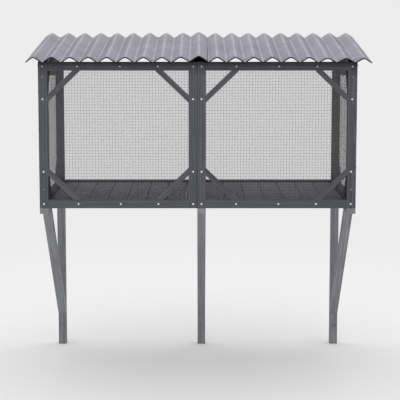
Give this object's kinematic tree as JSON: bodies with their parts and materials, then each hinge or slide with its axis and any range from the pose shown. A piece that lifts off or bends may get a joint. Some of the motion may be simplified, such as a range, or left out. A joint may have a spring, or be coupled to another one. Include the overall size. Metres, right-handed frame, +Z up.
{
  "type": "rabbit hutch",
  "caption": "Raised outdoor pet enclosure for a wall: bolted timber frames with wire mesh and corner braces, boarded floor, open back, corrugated lean-to roof and timber brackets.",
  "frame": {"origin": "on the ground under the middle of the bounding box", "axes": "+Z up, +X to the object's left as it faces the viewer (the viewer's right), the front faces -Y, the wall is on the +Y side"},
  "size_m": [1.508, 0.8286, 1.5575],
  "materials": {
    "stained_timber": "dark anthracite stain, matt",
    "weathered_timber": "dry, weathered grey stain",
    "pine": "unpainted pine, slightly weathered",
    "roofing": "grey corrugated sheet, satin",
    "wire_mesh": "welded galvanised wire",
    "steel": "zinc plated"
  },
  "bodies": {
    "root": {"bracket_arm_centre": "weathered_timber", "bracket_arm_left": "weathered_timber", "bracket_arm_right": "weathered_timber", "bracket_leg_centre": "weathered_timber", "bracket_leg_left": "weathered_timber", "bracket_leg_right": "weathered_timber", "bracket_strut_centre": "weathered_timber", "bracket_strut_left": "weathered_timber", "bracket_strut_right": "weathered_timber", "centre_rafter_left": "stained_timber", "centre_rafter_right": "stained_timber", "floor_deck": "stained_timber", "floor_ledger_front": "stained_timber", "floor_ledger_rear": "stained_timber", "front_left_brace_bottom_inner": "stained_timber", "front_left_brace_bottom_outer": "stained_timber", "front_left_brace_top_inner": "stained_timber", "front_left_brace_top_outer": "stained_timber", "front_left_mesh": "wire_mesh", "front_left_rail_bottom": "stained_timber", "front_left_rail_top": "stained_timber", "front_left_stile_inner": "stained_timber", "front_left_stile_outer": "stained_timber", "front_right_brace_bottom_inner": "stained_timber", "front_right_brace_bottom_outer": "stained_timber", "front_right_brace_top_inner": "stained_timber", "front_right_brace_top_outer": "stained_timber", "front_right_mesh": "wire_mesh", "front_right_rail_bottom": "stained_timber", "front_right_rail_top": "stained_timber", "front_right_stile_inner": "stained_timber", "front_right_stile_outer": "stained_timber", "rear_centre_post": "stained_timber", "rear_rail_bottom": "stained_timber", "rear_rail_top": "stained_timber", "roof_sheet_left": "roofing", "roof_sheet_right": "roofing", "side_left_brace_bottom_front": "stained_timber", "side_left_brace_bottom_rear": "stained_timber", "side_left_brace_top_front": "stained_timber", "side_left_brace_top_rear": "stained_timber", "side_left_mesh": "wire_mesh", "side_left_rail_bottom": "stained_timber", "side_left_rail_top": "stained_timber", "side_left_stile_front": "stained_timber", "side_left_stile_rear": "stained_timber", "side_right_brace_bottom_front": "stained_timber", "side_right_brace_bottom_rear": "stained_timber", "side_right_brace_top_front": "stained_timber", "side_right_brace_top_rear": "stained_timber", "side_right_mesh": "wire_mesh", "side_right_rail_bottom": "stained_timber", "side_right_rail_top": "stained_timber", "side_right_stile_front": "stained_timber", "side_right_stile_rear": "stained_timber", "wall_anchor_centre": "steel", "wall_anchor_left": "steel", "wall_anchor_right": "steel", "wall_cleat_left": "pine", "wall_cleat_right": "pine"}
  },
  "joints": []
}
